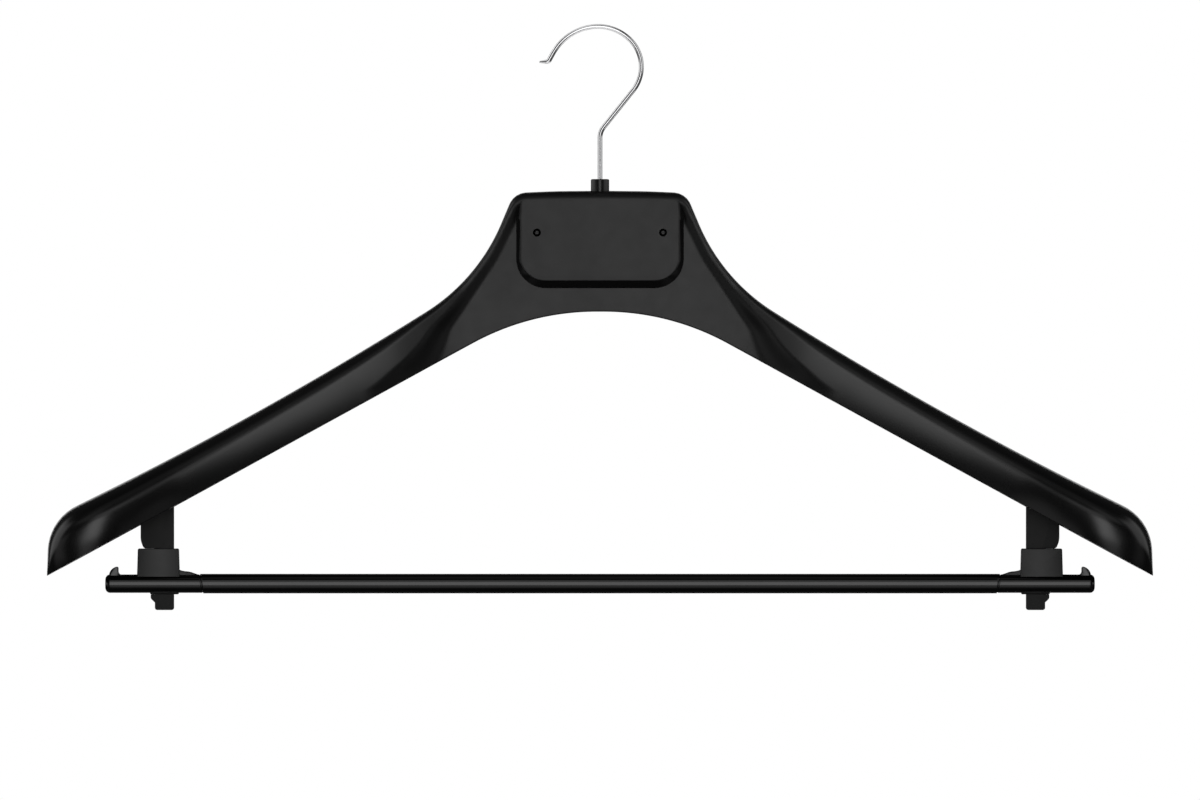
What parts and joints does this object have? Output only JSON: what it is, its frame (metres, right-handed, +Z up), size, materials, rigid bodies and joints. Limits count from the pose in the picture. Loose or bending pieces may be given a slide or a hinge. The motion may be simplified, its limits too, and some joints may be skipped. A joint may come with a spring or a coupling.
{
  "type": "suit hanger",
  "caption": "Broad-shouldered moulded suit hanger with a swivelling wire hook, a raised cover plate on the head and a clip-on trouser bar with skirt horns.",
  "frame": {"origin": "the hook's seat: the inner top of its bend, on the axis of its stem", "axes": "+Z up, +X along the shoulders to the right of someone who looks at the front, -Y out of the front"},
  "size_m": [0.45, 0.0448, 0.2389],
  "materials": {
    "moulded_body": "satin black, as moulded",
    "moulded_trim": "satin black, as moulded",
    "moulded_bar": "smooth black",
    "hook_wire": "bright plated wire",
    "plain_steel": "plain"
  },
  "bodies": {
    "hook_wire": {"hook": "hook_wire", "stem_washer": "plain_steel", "hook_retainer": "plain_steel"},
    "hanger": {"hanger_shell": "moulded_body", "front_plate": "moulded_body", "plate_pin_left": "moulded_trim", "plate_pin_right": "moulded_trim", "hook_collar": "moulded_trim", "post_left": "moulded_trim", "post_right": "moulded_trim", "bar_end_left": "moulded_bar", "bar_end_right": "moulded_bar", "bar_sleeve": "moulded_bar", "bar_core": "plain_steel"}
  },
  "joints": [
    {"name": "hook_swivel", "type": "hinge", "parent": "hook_wire", "child": "hanger", "pos_m": [0, 0, -0.0655], "axis": [0, 0, 1], "continuous": true}
  ]
}
